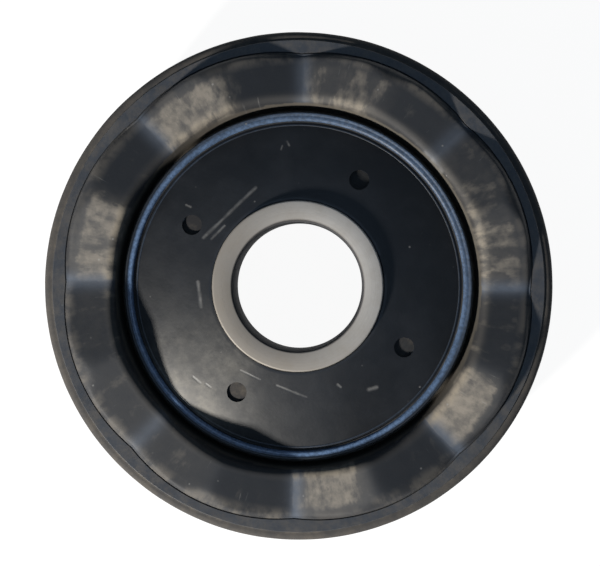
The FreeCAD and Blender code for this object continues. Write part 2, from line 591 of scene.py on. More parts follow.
@dataclass(frozen=True)
class RubberFinish:
    """Black moulded rubber: satin, bluish, scuffed and dusted brown on its lobes, with highlights, sky
    reflections and lighter lit flanks painted into its colour.
    """

    # Colours of the skin and of what lies on it, and of painted highlights and painted sky reflections
    deep: Colour = (0.004, 0.005, 0.007, 1.0)
    lobe: Colour = (0.015, 0.017, 0.021, 1.0)
    # Painted sky reflection: pale blue along the valley bottoms, laid mostly on the flanks that face the key
    # lamp
    valley: Colour = (0.072, 0.091, 0.124, 1.0)
    scuffed: Colour = (0.190, 0.170, 0.143, 1.0)
    # Painted highlight with dust: warm light along the lobes' inner edge, strongest where the flanks face the
    # key lamp
    edge: Colour = (0.240, 0.208, 0.162, 1.0)
    # Painted sky reflection and highlight: the lip's blue, over its whole face on the side facing the key
    # lamp, on its inner slope elsewhere
    ring: Colour = (0.062, 0.100, 0.168, 1.0)
    # Painted sky reflection on the lip's shaded side, where the crests' shadows fall
    sheen: Colour = (0.125, 0.205, 0.360, 1.0)
    wall: Colour = (0.088, 0.078, 0.063, 1.0)
    # Matte grey of the ledge, with a blue tint that is a painted sky reflection
    ledge: Colour = (0.032, 0.037, 0.046, 1.0)
    band: Colour = (0.043, 0.041, 0.040, 1.0)
    # Painted highlight: the key lamp's reflection on the dish, laid as a pale colour
    film: Colour = (0.190, 0.178, 0.154, 1.0)
    grime: Colour = (0.100, 0.086, 0.069, 1.0)
    # Light colour of scratches, scores and specks, and of the painted glint on the lobes
    scratch: Colour = (0.240, 0.238, 0.232, 1.0)

    # Patterns that break the colours up
    cloud: Cloud = Cloud(260.0, 8.0, 0.70, (0.32, 0.68))
    smear: Cloud = Cloud(130.0, 8.0, 0.70, (0.36, 0.62), (0.30, 1.0))
    mottle: Cloud = Cloud(400.0, 7.0, 0.68, (0.36, 0.62), (0.56, 1.0))
    haze: Cloud = Cloud(75.0, 6.0, 0.62, (0.40, 0.66), (0.0, 0.5))
    speckle: Cloud = Cloud(1600.0, 3.0, 0.60, (0.38, 0.62), (0.55, 1.0))
    smudge: Cloud = Cloud(330.0, 8.0, 0.76, (0.36, 0.68))
    flaking: Cloud = Cloud(330.0, 5.0, 0.60, (0.34, 0.66), (0.34, 0.88))

    # How far wear spreads the scuffs, and how strongly they show; the wear also paints the flanks facing the
    # key lamp lighter
    wear_gain: float = 0.42
    wear_least: float = 0.30
    patch_read: Point = (0.58, 0.85)
    patch_give: Point = (0.35, 1.0)
    streak_share: float = 0.20
    rubbed_read: Point = (0.38, 0.60)
    rubbed_give: Point = (0.03, 0.37)

    # Shares of the layers
    tint_least: float = 0.7
    haze_least: float = 0.5
    edge_least: float = 0.07
    grime_share: float = 0.46
    mark_share: float = 0.40
    score_share: float = 0.30
    speck_share: float = 0.5

    # Gloss, and what each zone adds to the roughness
    roughness: float = 0.45
    index: float = 1.60
    specular: float = 0.38
    scuffed_rougher: float = 0.12
    matte_rougher: float = 0.40
    film_rougher: float = 0.12
    cloud_rougher: float = 0.05
    ring_rougher: float = 0.05
    sheen_rougher: float = -0.27

    # Relief of the skin
    grain_depth: float = 0.00004
    grain_strength: float = 0.45
    scuffed_height: float = 1.2
    mark_height: float = -2.0

    scratches: tuple[StrokeMark, ...] = (
        StrokeMark((-18.8, 9.6), (-8.4, 19.6), 0.62),
        StrokeMark((-17.2, 9.4), (-14.6, 12.0), 0.46),
        StrokeMark((-19.9, 0.8), (-19.3, -4.2), 0.70),
        StrokeMark((-11.4, -16.8), (-7.6, -18.6), 0.36),
        StrokeMark((-21.0, -18.2), (-19.6, -19.4), 0.50),
        StrokeMark((-18.4, -19.6), (-17.5, -20.3), 0.42),
        StrokeMark((-4.2, -19.8), (1.6, -22.1), 0.45),
        StrokeMark((14.2, -20.6), (15.7, -20.2), 0.80),
        StrokeMark((7.9, -19.6), (8.5, -20.1), 0.50),
        StrokeMark((-2.2, 28.9), (-1.8, 28.1), 0.45),
        StrokeMark((-3.2, 28.0), (-3.4, 27.3), 0.40),
        StrokeMark((-22.4, 16.2), (-21.5, 15.8), 0.46),
        # Painted highlight: a yellow glint where the key lamp catches the lobes' inner edge, drawn as two
        # strokes
        StrokeMark((25.2, 26.7), (27.0, 24.9), 0.60, "lobes"),
        StrokeMark((26.6, 25.3), (28.6, 22.8), 0.80, "lobes"),
    )

    def patches(self, graph: Graph) -> tuple[Socket, Socket]:
        """Scuffs of the lobes, laid by the wear table, which also paints the flanks facing the key lamp
        lighter.

        Args:
            graph: The material's graph.

        Returns:
            How scuffed the surface is, and fine light scores in it.
        """
        broad = graph.group(Effect.SCUFFS, Around=14.0, Along=190.0)["Raw"]
        streak = graph.group(Effect.SCUFFS, Around=34.0, Along=300.0, Threshold=0.42, Softness=0.20)["Mask"]
        score = graph.group(Effect.SCUFFS, Around=80.0, Along=150.0, Threshold=0.68, Softness=0.05)["Mask"]
        lobes, wear = graph.mask("lobes"), graph.mask("wear")
        patch = graph.remap(graph.weighed(broad, (wear, self.wear_gain)), self.patch_read)
        patch = graph.times(patch, graph.remap(wear, RISING, self.patch_give))
        patch = graph.most(patch, graph.times(wear, self.wear_least))
        share = graph.weighed(self.flaking.on(graph), (streak, self.streak_share))
        rubbed = graph.remap(broad, self.rubbed_read, self.rubbed_give)
        scuffed = graph.most(graph.times(patch, share, lobes), graph.times(graph.mask("outer"), rubbed))
        return scuffed, graph.times(score, lobes)

    def marks(self, graph: Graph) -> Socket:
        """Single scratches of the dish, and a painted glint on the lobes.

        Args:
            graph: The material's graph.

        Returns:
            All of them in one mask.
        """
        lines = []
        for scratch in self.scratches:
            start, end = ((x * MM, y * MM, 0.0) for x, y in (scratch.start, scratch.end))
            stroke = graph.group(Effect.STROKE, From=start, To=end, Width=scratch.width * MM)
            lines.append(graph.times(stroke["Mask"], graph.mask(scratch.zone)))
        return graph.most(*lines)

    def build(self) -> bpy.types.Material:
        """Make the material.

        Returns:
            The material.
        """
        material, graph, shader = new_material("moulded rubber")
        grain = graph.group(Effect.GRAIN, Scale=1500.0)["Height"]
        specks = graph.group(Effect.DUST, Scale=110.0)["Specks"]
        scuffed, scores = self.patches(graph)
        marks = self.marks(graph)
        cloud, mottle = self.cloud.on(graph), self.mottle.on(graph)
        tint = graph.lifted(cloud, self.tint_least)
        flecked = graph.times(tint, self.speckle.on(graph))
        # The key lamp's highlight on the dish, painted as a pale mottled layer
        film = graph.times(graph.mask("film"), self.smear.on(graph), mottle)
        haze = graph.times(self.haze.on(graph), graph.lifted(mottle, self.haze_least))
        rim = graph.plus(graph.mask("ledge"), graph.mask("band"))
        light = graph.most(
            graph.times(marks, self.mark_share),
            graph.times(scores, self.score_share),
            graph.times(specks, self.speck_share),
        )
        colour = graph.layered(
            self.deep,
            (graph.times(haze, graph.mask("dish")), self.lobe),
            (graph.mask("lobes"), self.lobe),
            # Scuffs and dust, thicker on the flanks facing the key lamp: partly painted light
            (scuffed, self.scuffed),
            # Painted sky reflection along the valley bottoms
            (graph.times(graph.mask("valley"), tint), self.valley),
            # Painted highlight with dust along the lobes' inner edge
            (graph.times(graph.mask("edge"), graph.plus(self.edge_least, scuffed)), self.edge),
            (graph.times(graph.mask("wall"), tint), self.wall),
            # Painted sky reflection and highlight on the ring lip, on its lit and on its shaded side
            (graph.times(graph.mask("ring"), flecked), self.ring),
            (graph.times(graph.mask("sheen"), flecked), self.sheen),
            # Ledge: matte grey with a painted sky reflection tint
            (graph.times(graph.mask("ledge"), tint), self.ledge),
            (graph.times(graph.mask("band"), tint), self.band),
            # Painted highlight of the key lamp on the dish
            (film, self.film),
            (graph.times(self.smudge.on(graph), rim, self.grime_share), self.grime),
            (light, self.scratch),
        )
        rough = graph.weighed(
            self.roughness,
            (scuffed, self.scuffed_rougher),
            (graph.most(graph.mask("band"), graph.mask("matte")), self.matte_rougher),
            (film, self.film_rougher),
            (cloud, self.cloud_rougher),
            (graph.mask("ring"), self.ring_rougher),
            (graph.mask("sheen"), self.sheen_rougher),
        )
        height = graph.weighed(grain, (scuffed, self.scuffed_height), (marks, self.mark_height))
        graph.feed(shader["Base Color"], colour)
        graph.feed(shader["Roughness"], rough)
        graph.feed(shader["IOR"], self.index)
        graph.feed(shader["Specular IOR Level"], self.specular)
        graph.feed(shader["Normal"], graph.bump(height, self.grain_depth, self.grain_strength))
        return material


@dataclass(frozen=True)
class SteelFinish:
    """Turned steel that has gone dull, with a little brown in its tone."""

    name: str
    bright: Colour
    dull: Colour
    stain: Colour
    roughness: float
    metallic: float
    turning_depth: float
    turning_strength: float = 0.5
    turning_share: float = 0.35
    cloud_share: float = 0.45
    cloud_rougher: float = 0.10
    specular: float = 0.5
    # The face is darker towards -X and a little towards -Y
    stain_towards: Place = (-0.91, -0.42, 0.0)
    stain_reach: float = 0.017
    stain_share: float = 0.95
    # Painted shade: the bore wall and its inner edge are painted dark, as shade in the bore, and made rougher
    inside: Colour = (0.030, 0.031, 0.036, 1.0)
    inside_radius: float = 0.0
    inside_edge: Point = (0.00005, 0.00050)
    inside_share: float = 0.95
    inside_rougher: float = 0.30
    dust: Colour = (0.20, 0.17, 0.13, 1.0)
    dust_share: float = 0.25

    def build(self) -> bpy.types.Material:
        """Make the material.

        Returns:
            The material.
        """
        material, graph, shader = new_material(self.name)
        turning = graph.group(Effect.TURNING, Pitch=5200.0)
        cloud = graph.group(Effect.GRAIN, Scale=1100.0)["Cloud"]
        dust = graph.group(Effect.DUST, Scale=260.0, Amount=0.42)["Mask"]
        tone = graph.times(turning["Tone"], self.turning_share)
        side = graph.vector("DOT_PRODUCT", graph.place(), self.stain_towards, "Value")
        side_toned = graph.remap(side, (-self.stain_reach, self.stain_reach), (0.0, self.stain_share))
        # Painted shade on the bore wall and its inner edge
        bore, edge = self.inside_radius, self.inside_edge
        inside = graph.remap(graph.radius(), (bore + edge[0], bore + edge[1]), (self.inside_share, 0.0))
        colour = graph.layered(
            self.bright,
            (graph.weighed(tone, (cloud, self.cloud_share)), self.dull),
            # Darker towards -X and a little towards -Y
            (side_toned, self.stain),
            # Painted shade in the bore
            (inside, self.inside),
            (graph.times(dust, self.dust_share), self.dust),
        )
        rough = graph.weighed(self.roughness, (cloud, self.cloud_rougher), (inside, self.inside_rougher))
        graph.feed(shader["Base Color"], colour)
        graph.feed(shader["Roughness"], rough)
        graph.feed(shader["Metallic"], self.metallic)
        graph.feed(shader["Specular IOR Level"], self.specular)
        graph.feed(shader["Normal"], graph.bump(turning["Height"], self.turning_depth, self.turning_strength))
        return material


@dataclass
class RubberBody:
    """Moulded rubber body: rim, ledge, eight lobes, groove, ring lip and dish."""

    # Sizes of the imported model
    rim_radius: float = field(default_factory=lambda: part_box("rubber_body")[1][0])
    crest_height: float = field(default_factory=lambda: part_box("rubber_body")[1][2])
    sleeve_radius: float = field(default_factory=lambda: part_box("inner_sleeve")[1][0])
    sleeve_height: float = field(default_factory=lambda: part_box("inner_sleeve")[1][2])

    # Back and joint with the sleeve
    base_draft: float = 0.0012
    base_round: float = 0.0012
    land_width: float = 0.011
    relief_depth: float = 0.003
    relief_draft: float = 0.0012
    hub_width: float = 0.005
    hub_back: float = 0.0008
    joint_gap: float = 0.0003
    joint_reach: float = 0.01
    edge_break: float = 0.0001

    # Rim and ledge
    band_width: float = 0.0017
    band_drop: float = 0.0024
    band_fullness: float = 0.78
    step: float = 0.00035
    ledge_width: float = 0.0020
    crease: float = 0.00025

    # Lobed crown
    lobe_width: float = 0.0107
    lobe_rise: float = 0.0043
    lobe_count: int = 8
    valley_angle: float = -1.0
    flank_slope: float = 13.5
    valley_fall: float = 3.5
    valley_rounding: float = 0.0012
    crest_rounding: float = 0.0008
    run_out_width: float = 0.0018
    run_out_slope: float = 30.0
    run_out_rounding: float = 0.0006
    crown_width: float = 0.0043
    crown_radius: float = 0.0050
    crown_rounding: float = 0.0004
    inner_round: float = 0.0017
    outer_round: float = 0.0008
    outer_round_share: float = 0.6
    wall_draft: float = 0.0004
    scallop: float = 0.0010
    ledge_blend: float = 0.0001
    ledge_blend_start: float = 0.002

    # Groove, ring lip, dish and pits
    groove_width: float = 0.0021
    groove_floor_width: float = 0.0012
    groove_depth: float = 0.0044
    lip_width: float = 0.0026
    ledge_above_dish: float = 0.0018
    dish_radius: float = 0.098
    sleeve_proud: float = 0.0014
    pit_count: int = 4
    pit_angle: float = 60.0
    pit_radius: float = 0.0020
    pit_depth: float = 0.0012
    pit_sides: int = 64

    # Mesh and waviness of the skin
    segments: int = 480
    merge_distance: float = 0.000001
    face_steps: int = 26
    smooth_angle: float = 38.0
    waviness: float = 0.00007
    wave_scale: float = 70.0
    ripple_scale: float = 320.0
    ripple_share: float = 0.3

    # Places of the finish zones
    dark_depth: float = 0.0015
    wall_start: float = 0.0008
    zone_overlap: float = 0.0001
    inner_overlap: float = 0.0006
    # Zones of the ring lip's painted sky reflection and highlight, and the painted highlight line on the bead
    # below it
    lip_face: Point = (-0.0004, 0.00146)
    lip_turn: Point = (0.0001, 0.0006)
    lip_bead: Point = (0.0020, 0.0023)
    lip_bead_share: float = 0.25
    lip_least: float = 0.05
    lip_lit_azimuth: float = 49.0
    # Painted highlight of the key lamp on the dish: its direction, spread and strength
    film_azimuth: float = 224.0
    film_spread: float = 0.36
    film_least: float = 0.34
    film_rise: float = 0.30
    film_edge: float = 0.55

    # Wear of the lobes, one value for each flank; high on the flanks that face the key lamp, so it also
    # paints lit flanks lighter
    flank_wear: tuple[float, ...] = (
        0.52, 0.30, 0.04, 0.40, 0.02, 0.70, 0.06, 0.66,
        0.24, 0.12, 0.18, 0.00, 0.68, 0.06, 0.98, 0.16,
    )
    crest_shift: float = 0.13
    crest_fade: float = 0.20
    valley_fade: float = 0.05
    # Width and least share of the painted sky reflection along the valleys
    valley_sheen: float = 0.0016
    valley_least: float = 0.38
    # Place and width of the lobes' inner-edge zone, which holds a painted highlight
    edge_place: float = 0.0010
    edge_spread: float = 0.0016
    outer_start: float = 0.8
    outer_wear_loss: float = 0.92
    outer_rub_loss: float = 0.85
    matte_inner: float = 0.8
    matte_outer: float = 0.6
    matte_least: float = 0.35

    def __post_init__(self) -> None:
        """Work out the radii and heights that the others follow from."""
        self.ledge_outer = self.rim_radius - self.band_width
        self.lobe_outer = self.ledge_outer - self.ledge_width
        self.groove_outer = self.lobe_outer - self.lobe_width
        self.lip_outer = self.groove_outer - self.groove_width
        self.floor_outer = self.lip_outer + self.groove_floor_width
        self.dish_foot_radius = self.lip_outer - self.lip_width
        self.ledge_height = self.crest_height - self.lobe_rise
        self.dish_foot = self.ledge_height - self.ledge_above_dish
        self.dish_top = self.sleeve_height - self.sleeve_proud
        self.groove_floor = self.dish_foot - self.groove_depth
        self.half_pitch = math.pi / self.lobe_count
        self.lift = 0.0
        crest = math.radians(self.valley_angle) + self.half_pitch
        radii = [self.groove_outer + self.lobe_width * share for share in shares(100)]
        top = max(self.crown_height(radius, crest) for radius in radii)
        self.lift = self.crest_height - self.waviness - top

    def dish_height(self, radius: float) -> float:
        """Height of the domed dish at a radius."""
        fall = math.sqrt(self.dish_radius ** 2 - self.sleeve_radius ** 2)
        return self.dish_top - fall + math.sqrt(self.dish_radius ** 2 - radius ** 2)

    def groove_wall(self, height: float) -> float:
        """Radius of the slanted outer wall of the groove at a height."""
        slant = (self.groove_outer - self.floor_outer) / (self.ledge_height - self.groove_floor)
        return self.floor_outer + slant * (height - self.groove_floor)

    def turn_from_valley(self, angle: float) -> float:
        """Turn from the nearest valley to a direction, in radians."""
        turn = (angle - math.radians(self.valley_angle)) % (2 * self.half_pitch)
        return min(turn, 2 * self.half_pitch - turn)

    def lobe_edge(self, angle: float) -> float:
        """Radius of the lobes' outer foot, which bows out over each lobe."""
        share = 1 - self.turn_from_valley(angle) / self.half_pitch
        return self.lobe_outer - self.scallop * share ** 2

    def crown_height(self, radius: float, angle: float) -> float:
        """Height of the lobed surface.

        Args:
            radius: Distance from the axis.
            angle: Direction round the axis, in radians.

        Returns:
            Height of the flanks, valleys and crests there, above the rest plane.
        """
        turn = self.turn_from_valley(angle)
        along, aside = radius * math.cos(turn), radius * math.sin(turn)
        slope = math.tan(math.radians(self.flank_slope))
        fall = math.tan(math.radians(self.valley_fall))
        crest_radius = self.lobe_outer - self.crown_width
        below = math.sin(self.half_pitch) * slope - math.cos(self.half_pitch) * fall
        floor = self.crest_height - crest_radius * below - fall * along
        height = floor + slope * math.hypot(aside, self.valley_rounding)
        from_crest = radius * math.sin(self.half_pitch - turn)
        height -= (math.hypot(from_crest, self.crest_rounding) - from_crest) * slope
        run_out = math.tan(math.radians(self.run_out_slope)) - fall
        height -= run_out * softened(along - self.lobe_outer + self.run_out_width, self.run_out_rounding)
        crown = softened(radius - self.lobe_outer + self.crown_width, self.crown_rounding)
        envelope = self.crest_height - crown ** 2 / (2 * self.crown_radius)
        return self.lift + height + envelope - blended_max(height, envelope, self.crown_rounding)

    def rim_outline(self) -> list[Point]:
        """Draw the side wall, the rounded outer band and the step up to the ledge.

        Returns:
            Points of the section, from the side upwards.
        """
        foot = self.ledge_height - self.step - self.band_drop
        points = []
        for share in (0.05, 0.3, 0.55, 0.8):
            height = self.base_round + (foot - self.base_round) * share
            points.append((self.rim_radius - self.base_draft * (1 - share), height))
        for share in shares(10):
            turn = math.pi / 2 * share
            points.append((
                self.ledge_outer + self.band_width * math.cos(turn) ** self.band_fullness,
                foot + self.band_drop * math.sin(turn) ** self.band_fullness,
            ))
        return points + [
            (self.ledge_outer - 0.8 * self.edge_break, self.ledge_height - self.step * 0.9),
            (self.ledge_outer - self.edge_break, self.ledge_height - 1.2 * self.edge_break),
            (self.ledge_outer - 2 * self.edge_break, self.ledge_height),
        ]

    def crown_outline(self, angle: float) -> list[Point]:
        """Draw the ledge and the outer wall, top and inner edge of the lobes.

        Args:
            angle: Direction round the axis, in radians.

        Returns:
            Points of the section there, from the ledge inwards.
        """
        ledge, edge = self.ledge_height, self.lobe_edge(angle)
        width = self.ledge_outer - edge
        points = [(self.ledge_outer - width * share, ledge) for share in (0.25, 0.5, 0.75)]
        points += [
            (edge + self.crease, ledge),
            (edge + self.crease * 0.5, ledge - self.crease * 0.9),
            (edge, ledge - self.crease * 0.6),
        ]
        shoulder = edge - self.wall_draft
        top = max(self.crown_height(shoulder, angle), ledge)
        rounding = min(self.outer_round, (top - ledge) * self.outer_round_share)
        for share in (0.0, 0.35, 0.7, 1.0):
            height = ledge + (top - rounding - ledge) * share
            points.append((edge - self.wall_draft * share, height))
        for share in shares(5, 1):
            turn = math.pi / 2 * share
            radius = shoulder - self.outer_round * (1 - math.cos(turn))
            height = self.crown_height(radius, angle) - rounding * (1 - math.sin(turn))
            points.append((radius, blended_max(height, ledge, self.ledge_blend)))
        start = shoulder - self.outer_round
        wall = self.groove_wall(self.crown_height(self.groove_outer, angle) - self.inner_round)
        end = wall + self.inner_round
        for share in shares(self.face_steps, 1):
            radius = start + (end - start) * share
            height = self.crown_height(radius, angle)
            if radius > end + self.ledge_blend_start:
                height = blended_max(height, ledge, self.ledge_blend)
            points.append((radius, height))
        for share in shares(6, 1):
            turn = math.pi / 2 * share
            radius = end - self.inner_round * math.sin(turn)
            height = self.crown_height(radius, angle) - self.inner_round * (1 - math.cos(turn))
            points.append((radius, height))
        return points

    def groove_outline(self, top: float) -> list[Point]:
        """Draw the groove from the lobes' inner edge down and up to the ring lip.

        Args:
            top: Height of the groove's outer wall at this angle.

        Returns:
            Points down the outer wall, over the floor and up the inner wall.
        """
        floor = self.groove_floor
        points = []
        for share in (0.85, 0.68, 0.5, 0.33, 0.17, 0.07):
            height = floor + (top - floor) * share
            points.append((self.groove_wall(height), height))
        half = self.groove_floor_width / 2
        for share in shares(8, 1)[:-1]:
            turn = math.pi * share
            radius = self.lip_outer + half + half * math.cos(turn)
            points.append((radius, floor + half * 0.5 * (1 - math.sin(turn))))
        rise = self.dish_foot - floor
        return points + [(self.lip_outer, floor + rise * share) for share in (0.12, 0.35, 0.6, 0.85)]

    def lip_outline(self) -> list[Point]:
        """Draw the ring lip with a thin moulding flash on its outer edge, then its inner slope.

        Returns:
            Points of the section, listed as inset and rise in millimetres.
        """
        profile = (
            (-0.06, 0.02), (-0.26, 0.24), (-0.32, 0.48), (-0.24, 0.62), (-0.08, 0.66), (0.10, 0.62),
            (0.26, 0.54), (0.40, 0.52), (0.54, 0.55), (0.68, 0.56), (0.84, 0.56), (1.00, 0.53),
            (1.14, 0.46), (1.26, 0.34), (1.34, 0.18), (1.41, -0.06), (1.50, -0.27), (1.60, -0.30),
            (1.74, -0.25), (1.90, -0.20), (2.10, -0.06), (2.22, -0.05), (2.34, -0.11), (2.46, -0.06),
        )
        return [(self.lip_outer - inset * MM, self.dish_foot + rise * MM) for inset, rise in profile]

    def dish_outline(self) -> list[Point]:
        """Draw the domed dish from the ring lip in to the sleeve, with a fine joint there.

        Returns:
            Points of the section, from the lip inwards.
        """
        inner = self.sleeve_radius + self.joint_gap
        points = []
        for share in shares(self.face_steps, 1):
            radius = self.dish_foot_radius + (inner - self.dish_foot_radius) * share
            points.append((radius, self.dish_height(radius)))
        return points + [
            (self.sleeve_radius + self.edge_break, self.dish_height(inner) - 0.8 * self.edge_break),
            (self.sleeve_radius, self.dish_height(inner) - self.joint_gap),
        ]

    def back_outline(self) -> list[Point]:
        """Draw the sleeve joint, hub, shallow relief, flat land and rounded base edge.

        Returns:
            Points of the section, from the joint outwards.
        """
        land_outer = self.rim_radius - self.base_draft
        inner, outer = self.sleeve_radius + self.hub_width, land_outer - self.land_width
        depth, draft, edge = self.relief_depth, self.relief_draft, self.edge_break
        points = [(self.sleeve_radius, self.hub_back + self.joint_reach * share) for share in (1.0, 0.4, 0.0)]
        points += [
            (self.sleeve_radius + self.hub_width * 0.5, self.hub_back),
            (inner - 2 * edge, self.hub_back),
            (inner + edge, self.hub_back + 2 * edge),
            (inner + draft - 2 * edge, depth - 3 * edge),
            (inner + draft + 3 * edge, depth),
            ((inner + outer) / 2, depth),
            (outer - draft - 3 * edge, depth),
            (outer - draft + edge, depth - 3 * edge),
            (outer - 2 * edge, 2 * edge),
            (outer + edge, 0.0),
            ((outer + land_outer) / 2, 0.0),
        ]
        for share in shares(5):
            turn = math.pi / 2 * share
            radius = land_outer - self.base_round * (1 - math.sin(turn))
            points.append((radius, self.base_round * (1 - math.cos(turn))))
        return points

    def outline(self, angle: float) -> list[Point]:
        """Draw the whole closed section.

        Args:
            angle: Direction round the axis, in radians.

        Returns:
            Points of the section there, from the side over the top to the back.
        """
        crown = self.crown_outline(angle)
        points = self.rim_outline() + crown + self.groove_outline(crown[-1][1])
        return points + self.lip_outline() + self.dish_outline() + self.back_outline()

    def build(self) -> Piece:
        """Model the body.

        Returns:
            The body, without its finish.
        """
        deselect()
        stations = len(self.outline(0.0))
        bpy.ops.mesh.primitive_grid_add(
            x_subdivisions=self.segments, y_subdivisions=stations, size=1.0, location=ORIGIN
        )
        piece = bpy.context.active_object
        name_piece(piece, "moulded_body")
        self.wrap(piece, stations)
        self.roughen(piece)
        self.sink_pits(piece)
        self.mark(piece)
        smooth_by(piece, self.smooth_angle)
        return piece

    def wrap(self, piece: Piece, stations: int) -> None:
        """Wrap a unit grid round the axis, each row onto the section at its own angle.

        Args:
            piece: The grid.
            stations: Number of points of the section.
        """
        start = math.radians(self.valley_angle)
        angles = [start + 2 * math.pi * ring / self.segments for ring in range(self.segments)]
        outlines = [self.outline(angle) for angle in angles]
        for vertex in piece.data.vertices:
            ring = round((vertex.co.x + 0.5) * self.segments) % self.segments
            station = round((vertex.co.y + 0.5) * stations) % stations
            radius, height = outlines[ring][station]
            vertex.co = (radius * math.cos(angles[ring]), radius * math.sin(angles[ring]), height)
        only(piece)
        bpy.ops.object.mode_set(mode="EDIT")
        bpy.ops.mesh.select_all(action="SELECT")
        bpy.ops.mesh.remove_doubles(threshold=self.merge_distance)
        face_outwards()
        bpy.ops.object.mode_set(mode="OBJECT")

    def roughen(self, piece: Piece) -> None:
        """Give the moulded faces a slight waviness, but not the back and the sleeve joint.

        Args:
            piece: The body.
        """
        joint = self.sleeve_radius + 2 * self.edge_break
        moves = []
        for vertex in piece.data.vertices:
            place = vertex.co
            move = Vector()
            if place.z >= self.base_round and place.to_2d().length >= joint:
                wave = noise.noise(place * self.wave_scale) * (1 - self.ripple_share)
                ripple = noise.noise(place * self.ripple_scale) * self.ripple_share
                move = vertex.normal * (wave + ripple) * self.waviness
            moves.append(move)
        for vertex, move in zip(piece.data.vertices, moves):
            vertex.co += move
        piece.data.update()

    def sink_pits(self, piece: Piece) -> None:
        """Cut the locating pin pits down to the steel plate.

        Args:
            piece: The body.
        """
        radius = (self.sleeve_radius + self.dish_foot_radius) / 2
        for pit in range(self.pit_count):
            turn = math.radians(self.pit_angle + 360 * pit / self.pit_count)
            deselect()
            bpy.ops.mesh.primitive_cylinder_add(
                vertices=self.pit_sides,
                radius=self.pit_radius,
                depth=2 * self.pit_depth,
                location=(radius * math.cos(turn), radius * math.sin(turn), self.dish_height(radius)),
            )
            cutter = bpy.context.active_object
            modify(piece, "BOOLEAN", object=cutter, operation="DIFFERENCE", solver="EXACT")
            bpy.data.objects.remove(cutter)

    def mark(self, piece: Piece) -> None:
        """Store the zones that look different, each as a mask on the mesh.

        Args:
            piece: The body.
        """
        zones = [self.zones(vertex.co) for vertex in piece.data.vertices]
        for name in zones[0]:
            mask = piece.data.attributes.new(name, "FLOAT", "POINT")
            mask.data.foreach_set("value", [zone[name] for zone in zones])

    def zones(self, place: Vector) -> dict[str, float]:
        """Tell how far a place belongs to each zone.

        Args:
            place: A place on the body's surface.

        Returns:
            A share from 0 to 1 for each zone.
        """
        radius, angle = place.to_2d().length, math.atan2(place.y, place.x)
        front = place.z > self.groove_floor + self.dark_depth
        foot = self.lobe_edge(angle) + self.zone_overlap
        lobed = front and self.groove_outer - self.inner_overlap < radius < foot
        wall = self.lip_outer + self.wall_start < radius < self.groove_outer
        dish = front and self.lip_outer - radius > self.lip_face[1]
        return {
            "wall": float(wall and place.z > self.groove_floor),
            "ledge": float(front and foot <= radius < self.ledge_outer),
            "band": float(radius >= self.ledge_outer - self.zone_overlap / 2),
            "dish": float(dish),
            # Painted highlight of the key lamp on the dish
            "film": self.film(radius, angle) * dish,
            # Painted sky reflection and highlight of the ring lip
            **self.lip_zones(radius, angle, front),
            **self.lobe_zones(radius, angle, lobed),
        }

    def film(self, radius: float, angle: float) -> float:
        """Tell how strongly the painted highlight of the key lamp lies on the dish, as a pale colour.

        Args:
            radius: Distance from the axis.
            angle: Direction round the axis, in radians.

        Returns:
            Its share, largest on the side facing the key lamp and towards the ring lip.
        """
        turn = (angle - math.radians(self.film_azimuth) + math.pi) % (2 * math.pi) - math.pi
        outward = min(1.0, (radius - self.sleeve_radius) / (self.dish_foot_radius - self.sleeve_radius))
        strength = self.film_least + self.film_rise * outward + self.film_edge * outward ** 4
        return math.exp(-((turn / self.film_spread) ** 2)) * min(1.0, strength)

    def lip_zones(self, radius: float, angle: float, front: bool) -> dict[str, float]:
        """Tell how glossy the ring lip is and how much painted sky reflection and highlight it gets, on its
        lit and on its shaded side.

        Args:
            radius: Distance from the axis.
            angle: Direction round the axis, in radians.
            front: Whether the place is on the front and not deep in the groove.

        Returns:
            The shares of the lip's two zones, both painted sky reflection.
        """
        inset = self.lip_outer - radius
        start, end = self.lip_turn
        inward = held((inset - start) / (end - start))
        facing = math.cos(angle - math.radians(self.lip_lit_azimuth))
        ring, sheen = 0.0, 0.0
        if self.lip_face[0] < inset < self.lip_face[1]:
            ring = max(inward, self.lip_least + (1 - self.lip_least) * max(0.0, facing))
            sheen = inward * (1 - facing) / 2
        # The bead below the lip gets a painted highlight line
        elif self.lip_bead[0] < inset < self.lip_bead[1]:
            ring = self.lip_bead_share
        return {"ring": ring * front, "sheen": sheen * front}

    def wear(self, angle: float) -> float:
        """Tell how worn a flank is, fading into the next one over the crest; the table is high on flanks
        facing the key lamp, so this also paints lit flanks lighter.

        Args:
            angle: Direction round the axis, in radians.

        Returns:
            The wear from 0 to 1.
        """
        turn = (angle - math.radians(self.valley_angle)) / self.half_pitch
        flank = math.floor(turn)
        share = turn - flank
        if flank % 2 == 0:
            fade = (share + self.crest_shift - 1 + self.crest_fade / 2) / self.crest_fade
        else:
            fade = (share - 1 + self.valley_fade) / self.valley_fade
        count = len(self.flank_wear)
        here, beyond = self.flank_wear[flank % count], self.flank_wear[(flank + 1) % count]
        return here + (beyond - here) * held(fade)

